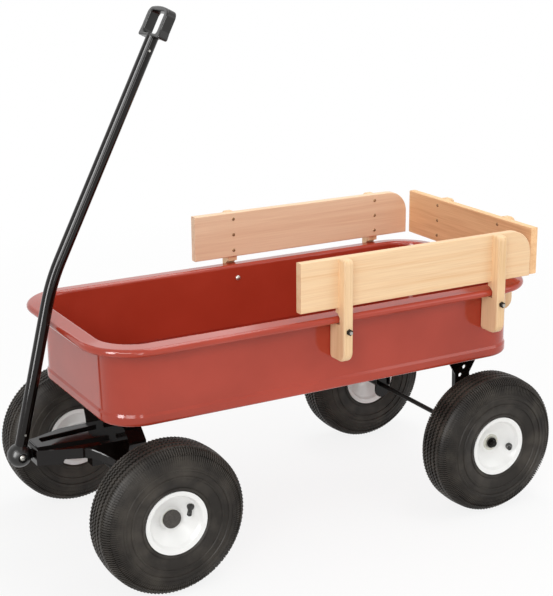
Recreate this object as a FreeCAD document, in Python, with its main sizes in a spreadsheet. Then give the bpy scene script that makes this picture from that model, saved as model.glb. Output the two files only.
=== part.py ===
import FreeCAD, Part
import os
import Sketcher
from math import atan2, cos, radians, sin

# Kids pull wagon: drawn steel tray on four pneumatic wheels, with wooden stake sides, a bolster and
# king pin that the front axle turns on, and a bent handle with a loop grip on a ball joint.
# Millimetres.  The front is at -X, the left side at -Y, up is +Z and the ground is z = 0.
# The pieces are drawn with the middle of the tray at x = 0; they are all moved together at the end.

SIZES = {
    # tray
    "bed_length": 914, "bed_width": 437, "bed_corner": 100, "bed_depth": 149, "tyre_clearance": 16,
    "tray_sheet": 1.6, "rim_flange": 33.5, "rim_roll": 7, "rim_fall": 1.7, "bead_height": 22,
    "bead_slope": 5, "bead_bulge": 2.2, "floor_radius": 6,
    # wooden sides
    "board_length": 503, "board_height": 90.6, "board_thickness": 15.6, "board_inset": 36.1,
    "board_lift": 12.9, "board_corner": 45, "board_edge_round": 2, "side_board_gap": 15,
    "tail_board_gap": 7.2, "tail_board_lap": 3, "tail_board_lift": 11,
    "stake_width": 19, "stake_depth": 20.4, "tail_stake_depth": 22, "stake_spacing": 336,
    "stake_inset": 117, "tail_stake_spacing": 200, "stake_foot": 86, "stake_ledge": 10,
    "stake_round": 4.5, "stake_chin": 20, "stake_heel": 8, "stake_crown": 10, "notch_clearance": 1,
    # wood fasteners
    "stake_bolt": 6, "stake_bolt_drop": 27.5, "stake_bolt_head": 10.5, "stake_bolt_rise": 3,
    "stake_nut": 10, "stake_nut_height": 5, "stake_bolt_spare": 8,
    "screw": 3.5, "screw_head": 6.5, "screw_rise": 1.8, "screw_pitch": 32, "screw_bite": 14,
    # wheels
    "wheel_diameter": 270, "tyre_width": 88, "tyre_wall": 7, "tyre_tread": 10, "rim_bead": 101.6,
    "rim_lip_height": 6.2, "rim_lip_out": 37.5, "rim_sheet": 2, "rim_well": 8, "dish_edge": 6,
    "dish_edge_out": 8, "hub_half": 12, "hub_bore": 24, "hub_face": 8, "bush_flange": 32,
    "bush_lip": 1.5, "running_fit": 0.05, "fit": 0.3,
    "valve": 7.5, "valve_boot": 13, "valve_length": 22, "valve_cap": 8, "valve_seat": 7,
    "valve_circle": 37.5, "front_valve_turn": 31, "rear_valve_turn": -18,
    # axles
    "track": 450, "front_overhang": 106, "rear_overhang": 132, "axle": 9.5, "spacer": 16,
    "washer": 24, "washer_sheet": 1.6, "push_nut": 20, "push_nut_sheet": 1.8, "push_nut_nose": 12.6,
    "front_axle_end": 0.7, "rear_axle_end": 8.2, "rear_axle_tip": 1.4, "cap": 33, "cap_skin": 1.5,
    # front steering
    "plate_sheet": 3, "bolster_length": 120, "bolster_width": 190, "bolster_corner": 12,
    "bolster_edge": 14, "dish_depth": 34, "dish_top": 96, "dish_bottom": 66, "dish_bend": 5,
    "king_pin": 12.7, "king_hex": 19, "king_head": 8, "king_nut": 10, "king_spare": 3.7,
    "rub_washer": 60, "rub_washer_sheet": 3, "beam_width": 32, "beam_top_depth": 63,
    "beam_top_half": 85, "beam_shoulder_half": 108, "beam_leg_half": 100, "beam_leg": 25,
    "beam_arch": 16, "beam_foot": 17, "turn_limit": 18, "stop_side": 60, "stop_width": 16,
    "stop_length": 8,
    # yoke, ball joint and handle
    "yoke_drop": 34, "yoke_front_depth": 28, "yoke_rear_depth": 19, "yoke_step": 117,
    "yoke_flare": 34, "yoke_front_half": 27, "yoke_rear_half": 56, "yoke_bend": 4,
    "ridge_rise": 4.5, "ridge_width": 6, "ridge_nose": 16, "ridge_front_half": 22,
    "ridge_rear_half": 33, "ridge_tail": 8, "ridge_round": 1.5,
    "wing_half": 100, "wing_fall": 16, "wing_tip": 25, "wing_tip_depth": 13,
    "pivot_reach": 180.6, "pivot_drop": 12.4, "ball": 43, "tongue": 8, "tongue_height": 18,
    "pivot_bolt": 8, "pivot_head": 13.5, "pivot_hex": 13, "pivot_nut": 5, "bolt_sink": 7,
    "bolt_well": 17, "cheek": 4, "shank_length": 38, "handle_tube": 22.2, "handle_wall": 1.5,
    "tube_start": 18, "lower_lean": 13.9, "upper_lean": 26.85, "lower_length": 314.9,
    "upper_length": 455.5, "handle_bend": 350, "handle_drop": 125, "cross_pin": 4,
    "clevis_pin_up": 22, "grip_pin_down": 24,
    "grip_width": 84, "grip_height": 54.5, "grip_depth": 19, "grip_bar": 8.5, "grip_leg": 12.5,
    "grip_base": 5.2, "grip_plug": 40, "grip_round": 2.4, "grip_corner": 14, "grip_shoulder": 16,
    "grip_lip": 4, "grip_arch": 1.5, "grip_hole_corner": 7,
    # rear brackets, and the studs under the floor
    "bracket_out": 142, "bracket_width": 34, "bracket_depth": 24, "bracket_foot": 27,
    "bracket_flange": 74, "bracket_edge": 10, "bracket_hole": 8,
    "stud": 6, "stud_hex": 10, "stud_nut": 5, "stud_spare": 7,
}

doc = FreeCAD.newDocument("PullWagon")
sheet = doc.addObject("Spreadsheet::Sheet", "Dim")
for row, (alias, value) in enumerate(SIZES.items(), 1):
    sheet.set("A%d" % row, alias)
    sheet.set("B%d" % row, str(value))
    sheet.setAlias("B%d" % row, alias)
doc.recompute()

parts = []


# ---- drawing helpers -----------------------------------------------------------------------------

def size(expression):
    """The value of an expression on the sheet, in millimetres or degrees."""
    return float(sheet.evalExpression(str(expression)))


def new_body(label):
    body = doc.addObject("PartDesign::Body", label)
    body.Label = label
    parts.append(body)
    return body


def new_sketch(body, plane, lift="0"):
    """A sketch on one of the body's own origin planes, lifted along the plane's normal."""
    sketch = body.newObject("Sketcher::SketchObject", body.Label + "_sketch")
    support = [item for item in body.Origin.OriginFeatures if item.Role == plane][0]
    sketch.AttachmentSupport = [(support, "")]
    sketch.MapMode = "FlatFace"
    sketch.setExpression("AttachmentOffset.Base.z", lift)
    return sketch


def bind(sketch, constraint, expression):
    index = sketch.addConstraint(constraint)
    sketch.setExpression("Constraints[%d]" % index, expression)


def pin_point(sketch, geometry, end, x, y):
    bind(sketch, Sketcher.Constraint("DistanceX", -1, 1, geometry, end, size(x)), x)
    bind(sketch, Sketcher.Constraint("DistanceY", -1, 1, geometry, end, size(y)), y)


def arc_between(start, end, radius, turn):
    """An arc from start to end; turn is 1 to the left (anticlockwise) and -1 to the right."""
    chord = end - start
    rise = max(radius ** 2 - (chord.Length / 2) ** 2, 0) ** 0.5
    across = FreeCAD.Vector(-chord.y, chord.x, 0).normalize()
    centre = (start + end) * 0.5 + across * rise * turn
    first = atan2(start.y - centre.y, start.x - centre.x)
    last = atan2(end.y - centre.y, end.x - centre.x)
    circle = Part.Circle(centre, FreeCAD.Vector(0, 0, 1), radius)
    if turn > 0:
        return Part.ArcOfCircle(circle, first, last)
    return Part.ArcOfCircle(circle, last, first)


def outline(sketch, steps, closed=True):
    """Joined lines and arcs.  A step is (x, y), or (x, y, radius, turn) for an arc that ends there."""
    start = steps[-1][:2] if closed else steps[0][:2]
    run = steps if closed else steps[1:]
    first = previous = None
    for step in run:
        a = FreeCAD.Vector(size(start[0]), size(start[1]), 0)
        b = FreeCAD.Vector(size(step[0]), size(step[1]), 0)
        begin, end = 1, 2
        if len(step) == 2:
            geometry = sketch.addGeometry(Part.LineSegment(a, b))
        else:
            geometry = sketch.addGeometry(arc_between(a, b, size(step[2]), step[3]))
            bind(sketch, Sketcher.Constraint("Radius", geometry, size(step[2])), step[2])
            if step[3] < 0:
                begin, end = 2, 1
        if previous:
            sketch.addConstraint(Sketcher.Constraint("Coincident", *previous, geometry, begin))
        else:
            first = (geometry, begin)
        pin_point(sketch, geometry, end, step[0], step[1])
        previous = (geometry, end)
        start = step[:2]
    if closed:
        sketch.addConstraint(Sketcher.Constraint("Coincident", *previous, *first))
    else:
        pin_point(sketch, *first, steps[0][0], steps[0][1])


def circle(sketch, x, y, radius):
    shape = Part.Circle(FreeCAD.Vector(size(x), size(y), 0), FreeCAD.Vector(0, 0, 1), size(radius))
    geometry = sketch.addGeometry(shape)
    bind(sketch, Sketcher.Constraint("Radius", geometry, size(radius)), radius)
    pin_point(sketch, geometry, 3, x, y)


def box(sketch, x0, y0, x1, y1):
    outline(sketch, [(x1, y0), (x1, y1), (x0, y1), (x0, y0)])


def rounded_box(sketch, half_x, half_y, corner):
    """A rectangle about the origin with round corners; it starts in the middle of its lower side."""
    x, y, r = "(%s)" % half_x, "(%s)" % half_y, "(%s)" % corner
    outline(sketch, [
        (x + "-" + r, "-" + y),
        (x, "-" + y + "+" + r, r, 1),
        (x, y + "-" + r),
        (x + "-" + r, y, r, 1),
        ("-" + x + "+" + r, y),
        ("-" + x, y + "-" + r, r, 1),
        ("-" + x, "-" + y + "+" + r),
        ("-" + x + "+" + r, "-" + y, r, 1),
        ("0", "-" + y)])


def pad(body, sketch, length, both_ways=False, back=False):
    feature = body.newObject("PartDesign::Pad", body.Label + "_pad")
    feature.Profile = sketch
    feature.setExpression("Length", length)
    feature.Midplane = both_ways
    feature.Reversed = back
    sketch.Visibility = False
    return feature


def pocket(body, sketch, length=None, both_ways=False, back=False):
    """Cuts away a sketch; with no length it cuts right through, both ways."""
    feature = body.newObject("PartDesign::Pocket", body.Label + "_pocket")
    feature.Profile = sketch
    if length is None:
        feature.Type = "ThroughAll"
        feature.Midplane = True
    else:
        feature.setExpression("Length", length)
        feature.Midplane = both_ways
        feature.Reversed = back
    return feature


def spin(body, sketch, axis="H_Axis"):
    feature = body.newObject("PartDesign::Revolution", body.Label + "_turning")
    feature.Profile = sketch
    feature.ReferenceAxis = (sketch, [axis])
    feature.Angle = 360
    return feature


def round_edges(body, radius, wanted):
    """Fillets the edges of the newest shape that the test picks."""
    doc.recompute()
    base = body.Tip
    names = ["Edge%d" % n for n, edge in enumerate(base.Shape.Edges, 1) if wanted(edge)]
    feature = body.newObject("PartDesign::Fillet", body.Label + "_fillet")
    feature.Base = (base, names)
    feature.setExpression("Radius", radius)
    return feature


def runs_along(edge, direction):
    if edge.Curve.TypeId != "Part::GeomLine":
        return False
    return abs(edge.tangentAt(edge.FirstParameter).dot(direction)) > 0.999


def place(item, x="0", y="0", z="0", turn="0", axis=(0, 0, 1)):
    """Puts a piece that was drawn at the origin in its place on the wagon."""
    item.Placement = FreeCAD.Placement(
        FreeCAD.Vector(size(x), size(y), size(z)),
        FreeCAD.Rotation(FreeCAD.Vector(*axis), size(turn)))


def group(label, shapes):
    """Like pieces, such as a set of bolts, kept as separate solids in one node."""
    item = doc.addObject("Part::Feature", label)
    item.Label = label
    item.Shape = Part.makeCompound(shapes)
    parts.append(item)
    return item


def rod(radius, length, base, direction):
    return Part.makeCylinder(radius, length, FreeCAD.Vector(*base), FreeCAD.Vector(*direction))


def hexagon(across, length, base, direction):
    """A six-sided nut blank or bolt head on base, standing along direction."""
    corners = []
    for n in range(7):
        turn = radians(60 * n + 30)
        corners.append(FreeCAD.Vector(cos(turn), sin(turn), 0) * (across / 3 ** 0.5))
    blank = Part.Face(Part.makePolygon(corners)).extrude(FreeCAD.Vector(0, 0, length))
    facing = FreeCAD.Rotation(FreeCAD.Vector(0, 0, 1), FreeCAD.Vector(*direction))
    blank.Placement = FreeCAD.Placement(FreeCAD.Vector(*base), facing)
    return blank


def dome(diameter, height, base, direction):
    """A low round bolt or screw head on base, standing along direction."""
    origin, foot = FreeCAD.Vector(0, 0, 0), FreeCAD.Vector(diameter / 2, 0, 0)
    shoulder = FreeCAD.Vector(diameter * 0.38, 0, height * 0.62)
    flat, crown = FreeCAD.Vector(diameter * 0.14, 0, height), FreeCAD.Vector(0, 0, height)
    edges = [Part.makeLine(origin, foot), Part.Arc(foot, shoulder, flat).toShape()]
    edges += [Part.makeLine(flat, crown), Part.makeLine(crown, origin)]
    cap = Part.Face(Part.Wire(edges)).revolve(origin, FreeCAD.Vector(0, 0, 1), 360)
    facing = FreeCAD.Rotation(FreeCAD.Vector(0, 0, 1), FreeCAD.Vector(*direction))
    cap.Placement = FreeCAD.Placement(FreeCAD.Vector(*base), facing)
    return cap


# ---- shared places -------------------------------------------------------------------------------

BED_Z = "(Dim.wheel_diameter + Dim.tyre_clearance)"
CREST = "(%s + Dim.bed_depth)" % BED_Z
WALL_X = "(Dim.bed_length / 2 - Dim.rim_flange)"
WALL_Y = "(Dim.bed_width / 2 - Dim.rim_flange)"
REAR_STAKE_X = "(Dim.bed_length / 2 - Dim.stake_inset)"
STAKE_XS = ("(%s - Dim.stake_spacing)" % REAR_STAKE_X, REAR_STAKE_X)
STAKE_BOLT_Z = "(%s - Dim.stake_bolt_drop)" % CREST
SIDE_BOARD_X = "(Dim.bed_length / 2 - Dim.board_inset - Dim.board_length / 2)"
SIDE_BOARD_Z = "(%s + Dim.board_lift)" % CREST
TAIL_BOARD_Z = "(%s + Dim.tail_board_lift)" % CREST
TAIL_BOARD_WIDTH = "(2 * (%s + Dim.side_board_gap + Dim.tail_board_lap))" % WALL_Y
FRONT_X = "(Dim.front_overhang - Dim.bed_length / 2)"
REAR_X = "(Dim.bed_length / 2 - Dim.rear_overhang)"
HUB_Z = "(Dim.wheel_diameter / 2)"
DISH_Z = "(%s - Dim.dish_depth)" % BED_Z
BEAM_Z = "(%s - Dim.rub_washer_sheet)" % DISH_Z
HUB_FACE = "(Dim.hub_half + Dim.bush_lip + Dim.fit)"
NUT_FACE = "(%s + Dim.washer_sheet + Dim.push_nut_sheet)" % HUB_FACE


# ---- tray ----------------------------------------------------------------------------------------

# The wall's sweep reaches this far in over the floor plate, which starts half as far in.
FLOOR_LAP = "(2 * Dim.floor_radius + 2)"


def tray_section(sketch):
    """The wall as it leaves the floor: round bottom, swaged bead, wall, and the rolled rim."""
    floor, crest, sheet_t = BED_Z, CREST, "Dim.tray_sheet"
    out, roll = "Dim.rim_flange", "Dim.rim_roll"
    top = crest + " - Dim.rim_fall"

    def at(outward, height, *arc):
        return ("-%s - (%s)" % (WALL_Y, outward), height) + arc

    outer, inner = "Dim.floor_radius", "Dim.floor_radius - " + sheet_t
    bend, tight = "Dim.rim_roll", "Dim.rim_roll - " + sheet_t
    bulge = "Dim.bead_bulge"
    outline(sketch, [
        at(bulge + " - " + outer, floor),
        at(bulge, floor + " + " + outer, outer, -1),
        at(bulge, floor + " + Dim.bead_height - Dim.bead_slope"),
        at("0", floor + " + Dim.bead_height"),
        at("0", crest + " - " + bend),
        at(tight, crest + " - " + sheet_t, tight, 1),
        at(out + " - " + roll, top + " - " + sheet_t),
        at(out + " - " + sheet_t, top + " - " + roll, tight, 1),
        at(out + " - " + roll, top + " - 2 * " + roll + " + " + sheet_t, tight, 1),
        at(out + " - " + roll, top + " - 2 * " + roll),
        at(out, top + " - " + roll, bend, -1),
        at(out + " - " + roll, top, bend, -1),
        at(tight, crest),
        at("-" + sheet_t, crest + " - " + bend, bend, -1),
        at("-" + sheet_t, floor + " + Dim.bead_height"),
        at(bulge + " - " + sheet_t, floor + " + Dim.bead_height - Dim.bead_slope"),
        at(bulge + " - " + sheet_t, floor + " + " + outer),
        at(bulge + " - " + outer, floor + " + " + sheet_t, inner, 1),
        at("-" + FLOOR_LAP, floor + " + " + sheet_t),
        at("-" + FLOOR_LAP, floor)])


def make_tray():
    body = new_body("bed_tray")
    plate = new_sketch(body, "XY_Plane", BED_Z)
    inset = " - Dim.floor_radius - 2"
    rounded_box(plate, WALL_X + inset, WALL_Y + inset, "Dim.bed_corner - Dim.rim_flange" + inset)
    pad(body, plate, "Dim.tray_sheet")
    path = new_sketch(body, "XY_Plane")
    rounded_box(path, WALL_X, WALL_Y, "Dim.bed_corner - Dim.rim_flange")
    section = new_sketch(body, "YZ_Plane")
    tray_section(section)
    wall = body.newObject("PartDesign::AdditivePipe", "wall_and_rim")
    wall.Profile = section
    wall.Spine = path
    holes = new_sketch(body, "XZ_Plane")
    for x in STAKE_XS:
        circle(holes, x, STAKE_BOLT_Z, "Dim.stake_bolt / 2 + Dim.fit")
    pocket(body, holes)
    tail_holes = new_sketch(body, "YZ_Plane", WALL_X)
    for side in ("-", ""):
        y = side + "Dim.tail_stake_spacing / 2"
        circle(tail_holes, y, STAKE_BOLT_Z, "Dim.stake_bolt / 2 + Dim.fit")
    pocket(body, tail_holes, "12 * Dim.tray_sheet", both_ways=True)


def bolster_bolt_places():
    places = []
    for along in ("-", "+"):
        for across in ("-", ""):
            x = "%s %s (Dim.bolster_length / 2 - Dim.bolster_edge)" % (FRONT_X, along)
            places.append((x, across + "(Dim.bolster_width / 2 - Dim.bolster_edge)"))
    return places


def bracket_bolt_places():
    places = []
    for along in ("-", "+"):
        for across in ("-", ""):
            x = "%s %s (Dim.bracket_flange / 2 - Dim.bracket_edge)" % (REAR_X, along)
            places.append((x, across + "(Dim.bracket_out - Dim.bracket_depth / 2)"))
    return places


# ---- wooden sides --------------------------------------------------------------------------------

def make_board(label, length, rounded=0):
    """A board drawn lying against the XZ plane, its inner face on the plane and its foot on z = 0.
    Its upper corner at +X or at -X can be rounded: rounded is 1 or -1."""
    body = new_body(label)
    face = new_sketch(body, "XZ_Plane")
    half, top, r = "(%s) / 2" % length, "Dim.board_height", "Dim.board_corner"
    steps = [("-" + half, "0"), (half, "0")]
    if rounded > 0:
        steps += [(half, top + " - " + r), (half + " - " + r, top, r, 1)]
    else:
        steps += [(half, top)]
    if rounded < 0:
        steps += [("-" + half + " + " + r, top), ("-" + half, top + " - " + r, r, 1)]
    else:
        steps += [("-" + half, top)]
    outline(face, steps)
    pad(body, face, "Dim.board_thickness")
    round_edges(body, "Dim.board_edge_round", lambda edge: runs_along(edge, FreeCAD.Vector(1, 0, 0)))
    return body


def drill_board(body, places):
    holes = new_sketch(body, "XZ_Plane")
    for x in places:
        for step in (-1, 0, 1):
            z = "Dim.board_height / 2 + %d * Dim.screw_pitch" % step
            circle(holes, x, z, "Dim.screw / 2 + Dim.running_fit")
    pocket(body, holes)


def make_boards():
    for name, side, turn in (("left", "-", "0"), ("right", "", "180")):
        ahead = 1 if name == "left" else -1
        board = make_board("side_board_" + name, "Dim.board_length", rounded=ahead)
        drill_board(board, ["%d * (%s - %s)" % (ahead, x, SIDE_BOARD_X) for x in STAKE_XS])
        y = "%s(%s + Dim.side_board_gap)" % (side, WALL_Y)
        place(board, SIDE_BOARD_X, y, SIDE_BOARD_Z, turn)
    tail = make_board("tail_board", TAIL_BOARD_WIDTH)
    drill_board(tail, ["-Dim.tail_stake_spacing / 2", "Dim.tail_stake_spacing / 2"])
    place(tail, "%s + Dim.tail_board_gap" % WALL_X, "0", TAIL_BOARD_Z, turn="90")


def make_stake(label, gap, depth, lift):
    """A post drawn outside a wall on the XZ plane: foot on the wall, notch round the rim, and the
    upper half outside the board, which stands on the ledge above the notch."""
    body = new_body(label)
    side = new_sketch(body, "YZ_Plane")
    back = "(%s + Dim.board_thickness)" % gap
    front = "(%s + %s)" % (back, depth)
    ledge = "(%s - Dim.stake_ledge)" % back
    foot = "(%s - Dim.stake_foot)" % CREST
    board = "(%s + %s)" % (CREST, lift)
    clear = "Dim.rim_flange + Dim.notch_clearance"
    under_rim = CREST + " - Dim.rim_fall - 2 * Dim.rim_roll - 1.8"
    chin, heel, crown = "Dim.stake_chin", "Dim.stake_heel", "Dim.stake_crown"

    def at(outward, height, *arc):
        return ("-(%s)" % outward, height) + arc

    outline(side, [
        at("0", under_rim),
        at(clear, under_rim),
        at(clear, CREST + " - 4.5"),
        at(clear + " - 7", CREST + " + 2.5"),
        at(ledge, CREST + " + 3.5"),
        at(ledge, board),
        at(back, board),
        at(back, board + " + Dim.board_height"),
        at(front + " - " + crown, board + " + Dim.board_height"),
        at(front, board + " + Dim.board_height - " + crown, crown, 1),
        at(front, foot + " + " + chin),
        at(front + " - " + chin, foot, chin, 1),
        at(heel, foot),
        at("0", foot + " + " + heel, heel, 1)])
    pad(body, side, "Dim.stake_width", both_ways=True)
    face = -size(front)
    limit = size(foot + " + " + chin) + 1

    def long_outer(edge):
        middle = edge.CenterOfMass
        upright = runs_along(edge, FreeCAD.Vector(0, 0, 1))
        return upright and abs(middle.y - face) < 0.01 and middle.z > limit

    round_edges(body, "Dim.stake_round", long_outer)
    bolt_hole = new_sketch(body, "XZ_Plane")
    circle(bolt_hole, "0", STAKE_BOLT_Z, "Dim.stake_bolt / 2 + Dim.fit")
    pocket(body, bolt_hole)
    screw_holes = new_sketch(body, "XZ_Plane", back)
    for step in (-1, 0, 1):
        z = "%s + Dim.board_height / 2 + %d * Dim.screw_pitch" % (board, step)
        circle(screw_holes, "0", z, "Dim.screw / 2 + Dim.running_fit")
    pocket(body, screw_holes, "Dim.screw_bite + 1", back=True)
    return body


def stake_places():
    """Name, x, y, turn about Z, board gap and stake depth of each stake."""
    places = []
    for end, x in zip(("front", "rear"), STAKE_XS):
        places.append(("stake_left_" + end, x, "-" + WALL_Y, "0"))
        places.append(("stake_right_" + end, x, WALL_Y, "180"))
    for side, sign in (("left", "-"), ("right", "")):
        places.append(("stake_tail_" + side, WALL_X, sign + "Dim.tail_stake_spacing / 2", "90"))
    return places


def make_stakes():
    for label, x, y, turn in stake_places():
        if "tail" in label:
            stake = make_stake(label, "Dim.tail_board_gap", "Dim.tail_stake_depth", "Dim.tail_board_lift")
        else:
            stake = make_stake(label, "Dim.side_board_gap", "Dim.stake_depth", "Dim.board_lift")
        place(stake, x, y, "0", turn)


def make_stake_fasteners():
    bolts, nuts, screws = [], [], []
    shank, gap = size("Dim.stake_bolt") / 2, size("Dim.running_fit")
    sheet_t, z = size("Dim.tray_sheet"), size(STAKE_BOLT_Z)
    nut_height, screw_head = size("Dim.stake_nut_height"), size("Dim.screw_head") / 2
    screw_length = size("Dim.board_thickness + Dim.screw_bite")
    for label, x, y, turn in stake_places():
        tail = "tail" in label
        inner = size("Dim.tail_board_gap" if tail else "Dim.side_board_gap")
        depth = size("Dim.tail_stake_depth" if tail else "Dim.stake_depth")
        foot = size(TAIL_BOARD_Z if tail else SIDE_BOARD_Z)
        front = inner + size("Dim.board_thickness") + depth
        where = FreeCAD.Placement(FreeCAD.Vector(size(x), size(y), 0),
                                  FreeCAD.Rotation(FreeCAD.Vector(0, 0, 1), size(turn)))
        bolt = rod(shank, front + sheet_t + size("Dim.stake_bolt_spare"), (0, sheet_t, z), (0, -1, 0))
        head = dome(size("Dim.stake_bolt_head"), size("Dim.stake_bolt_rise"), (0, sheet_t, z), (0, 1, 0))
        bolts.append(moved(bolt.fuse(head), where))
        nut = hexagon(size("Dim.stake_nut"), nut_height, (0, -front, z), (0, -1, 0))
        nut = nut.cut(rod(shank + gap, nut_height, (0, -front, z), (0, -1, 0)))
        nuts.append(moved(nut, where))
        for step in (-1, 0, 1):
            height = foot + size("Dim.board_height / 2 + %d * Dim.screw_pitch" % step)
            screw = rod(size("Dim.screw") / 2, screw_length, (0, -inner, height), (0, -1, 0))
            pan = Part.makeCone(screw_head, screw_head * 0.6, size("Dim.screw_rise"),
                                FreeCAD.Vector(0, -inner, height), FreeCAD.Vector(0, 1, 0))
            screws.append(moved(screw.fuse(pan), where))
    group("stake_bolts", bolts)
    group("stake_nuts", nuts)
    group("board_screws", screws)


def moved(shape, where):
    copy = shape.copy()
    copy.Placement = where.multiply(copy.Placement)
    return copy


# ---- front bolster, king pin and axle beam -------------------------------------------------------
# Drawn about the king pin, which is their own Z axis.

def make_bolster():
    """A steel flange plate with a deep round cup pressed down in its middle and two turning stops."""
    body = new_body("front_bolster")
    top, low, wall, bend = BED_Z, DISH_Z, "Dim.plate_sheet", "Dim.dish_bend"
    plate = new_sketch(body, "XY_Plane", "%s - %s" % (top, wall))
    rounded_box(plate, "Dim.bolster_length / 2", "Dim.bolster_width / 2", "Dim.bolster_corner")
    pad(body, plate, wall)
    mouth = new_sketch(body, "XY_Plane", top)
    circle(mouth, "0", "0", "Dim.dish_top / 2 + 2")
    pocket(body, mouth, wall + " * 2", both_ways=True)
    cup = new_sketch(body, "XZ_Plane")
    outline(cup, [
        ("Dim.dish_bottom / 2 - " + bend, low),
        ("Dim.dish_bottom / 2", "%s + %s" % (low, bend), bend, 1),
        ("Dim.dish_top / 2", "%s - %s" % (top, wall)),
        ("Dim.dish_top / 2 + 2 * " + wall, "%s - %s" % (top, wall)),
        ("Dim.dish_top / 2 + 2 * " + wall, top),
        ("Dim.dish_top / 2 - " + wall, top),
        ("Dim.dish_bottom / 2 - " + wall, "%s + %s" % (low, bend)),
        ("Dim.dish_bottom / 2 - " + bend, "%s + %s" % (low, wall), "%s - %s" % (bend, wall), -1),
        ("Dim.king_pin / 2 + Dim.fit", "%s + %s" % (low, wall)),
        ("Dim.king_pin / 2 + Dim.fit", low)])
    spin(body, cup, "V_Axis")
    stops = new_sketch(body, "XY_Plane", "%s - %s" % (top, wall))
    # A beam edge half a beam wide reaches this far along at the stop when it has turned to the limit.
    reach = ("((Dim.beam_width / 2 + Dim.stop_side * sin(Dim.turn_limit * 1 deg))"
             " / cos(Dim.turn_limit * 1 deg) + 2 * Dim.fit)")
    for side in ("-", ""):
        inner = side + "(Dim.stop_side - Dim.stop_width / 2)"
        outer = side + "(Dim.stop_side)"
        low_y, high_y = (outer, inner) if side else (inner, outer)
        box(stops, reach, low_y, reach + " + Dim.stop_length", high_y)
    pad(body, stops, "Dim.dish_depth + Dim.rub_washer_sheet + 4", back=True)
    holes = new_sketch(body, "XY_Plane", top)
    for x, y in bolster_bolt_places():
        circle(holes, "%s - %s" % (x, FRONT_X), y, "Dim.stud / 2 + Dim.fit")
    pocket(body, holes, wall + " * 2", both_ways=True)
    place(body, FRONT_X)


def make_king_pin():
    pin, gap, x = size("Dim.king_pin") / 2, size("Dim.running_fit"), size(FRONT_X)
    across, nut_height = size("Dim.king_hex"), size("Dim.king_nut")
    arch, head_z = size(BEAM_Z + " - Dim.beam_top_depth"), size(DISH_Z + " + Dim.plate_sheet")
    nut_z = arch - size("Dim.fit") - nut_height
    foot = nut_z - size("Dim.king_spare")
    bolt = rod(pin, head_z - foot, (x, 0, foot), (0, 0, 1))
    bolt = bolt.fuse(hexagon(across, size("Dim.king_head"), (x, 0, head_z), (0, 0, 1)))
    group("king_pin_bolt", [bolt])
    nut = hexagon(across, nut_height, (x, 0, nut_z), (0, 0, 1))
    group("king_pin_nut", [nut.cut(rod(pin + gap, nut_height, (x, 0, nut_z), (0, 0, 1)))])
    washer_sheet, base = size("Dim.rub_washer_sheet"), (x, 0, size(BEAM_Z))
    washer = rod(size("Dim.rub_washer") / 2, washer_sheet, base, (0, 0, 1))
    group("rub_washer", [washer.cut(rod(pin + gap, washer_sheet, base, (0, 0, 1)))])


def beam_outline(sketch, inset):
    """The beam seen from the front: a deep bridge with raked shoulders and two legs."""
    top = "Dim.beam_top_half - %s" % inset
    shoulder = "Dim.beam_shoulder_half - %s" % inset
    outer = "Dim.beam_leg_half - %s" % inset
    inner = "Dim.beam_leg_half - Dim.beam_leg + %s" % inset
    head = "%s - %s" % (BEAM_Z, inset)
    arch = "%s - Dim.beam_top_depth + %s" % (BEAM_Z, inset)
    foot = "%s - Dim.beam_foot + %s" % (HUB_Z, inset)
    neg = "-(%s)"
    outline(sketch, [
        (neg % inner, foot),
        (neg % inner, arch + " - Dim.beam_arch"),
        (neg % inner + " + Dim.beam_arch", arch, "Dim.beam_arch", -1),
        (inner + " - Dim.beam_arch", arch),
        (inner, arch + " - Dim.beam_arch", "Dim.beam_arch", -1),
        (inner, foot),
        (outer, foot),
        (outer, "%s - 44" % BEAM_Z),
        (shoulder, "%s - 24" % BEAM_Z),
        (shoulder, "%s - 20" % BEAM_Z),
        (top + " + 4", head + " - 3"),
        (top, head),
        (neg % top, head),
        (neg % top + " - 4", head + " - 3"),
        (neg % shoulder, "%s - 20" % BEAM_Z),
        (neg % shoulder, "%s - 24" % BEAM_Z),
        (neg % outer, "%s - 44" % BEAM_Z),
        (neg % outer, foot)])


def make_axle_beam():
    """A pressed steel channel, open to the rear, that turns on the king pin and carries the axle."""
    body = new_body("axle_beam")
    front = new_sketch(body, "YZ_Plane", "Dim.beam_width / 2")
    beam_outline(front, "0")
    pad(body, front, "Dim.beam_width", back=True)
    hollow = new_sketch(body, "YZ_Plane", "Dim.beam_width / 2")
    beam_outline(hollow, "Dim.plate_sheet")
    pocket(body, hollow, "Dim.beam_width - Dim.plate_sheet")
    axle = new_sketch(body, "XZ_Plane")
    circle(axle, "0", HUB_Z, "Dim.axle / 2 + Dim.running_fit")
    pocket(body, axle)
    pin = new_sketch(body, "XY_Plane")
    circle(pin, "0", "0", "Dim.king_pin / 2 + Dim.running_fit")
    pocket(body, pin)
    place(body, FRONT_X)


# ---- yoke and tongue -----------------------------------------------------------------------------

BEAM_FRONT = "(%s - Dim.beam_width / 2)" % FRONT_X
YOKE_Z = "(%s - Dim.yoke_drop)" % BEAM_Z
YOKE_STEP = "(%s - Dim.yoke_step)" % FRONT_X
PIVOT_X = "(%s - Dim.pivot_reach)" % FRONT_X
PIVOT_Z = "(%s - Dim.pivot_drop)" % YOKE_Z
YOKE_NOSE = "(%s + Dim.ball / 2 + 2 * Dim.fit)" % PIVOT_X
WING_X = "(%s + Dim.yoke_flare)" % YOKE_STEP
WING_ROOT = "(Dim.yoke_rear_half - 2)"
WING_SHARES = (0, 0.15, 0.4, 0.7, 1)
RIDGE_NOSE = "(%s + Dim.yoke_bend)" % YOKE_NOSE
RIDGE_TAIL = "(%s - Dim.ridge_tail)" % BEAM_FRONT


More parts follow.
